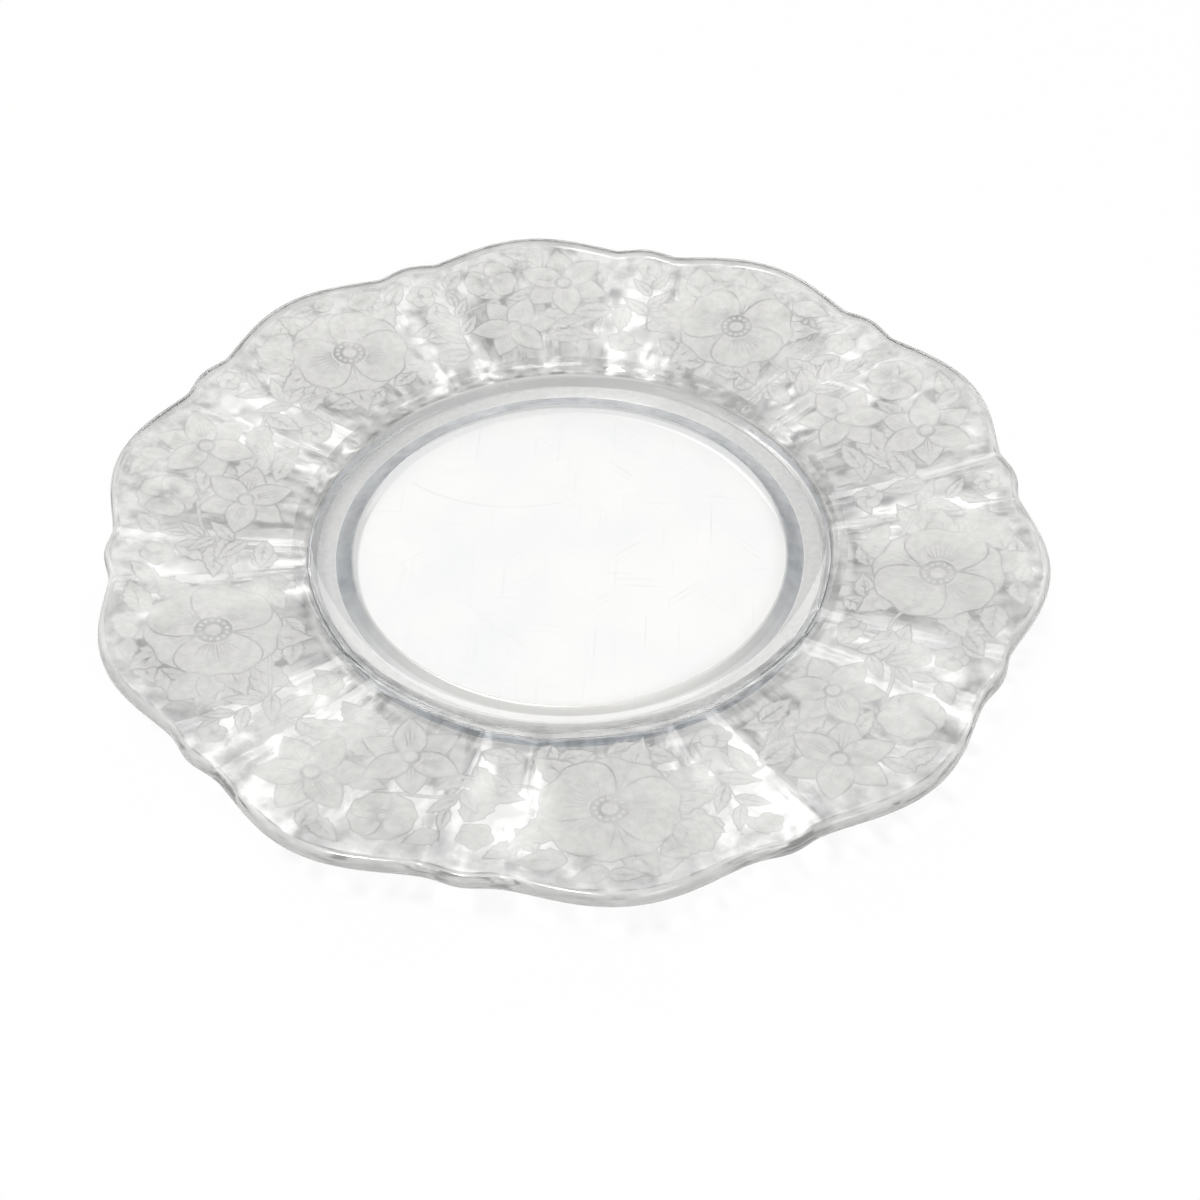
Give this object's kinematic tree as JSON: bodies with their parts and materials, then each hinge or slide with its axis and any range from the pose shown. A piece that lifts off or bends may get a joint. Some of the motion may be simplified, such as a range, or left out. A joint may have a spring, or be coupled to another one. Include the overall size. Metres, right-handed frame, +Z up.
{
  "type": "bread and butter plate",
  "caption": "Round bread and butter plate in clear glass, with a flat well, a ring foot and a broad lobed rim etched with frosted flowers.",
  "frame": {"origin": "on the table, under the middle of the plate", "axes": "+Z up along the plate's axis, +X through the crown of a lobe of the rim"},
  "size_m": [0.165, 0.1596, 0.0117],
  "materials": {
    "clear_glass": "clear pressed glass, polished, with a frosted acid-etched flower design on the top of the rim and a ground foot face"
  },
  "bodies": {
    "root": {"plate": "clear_glass"}
  },
  "joints": []
}
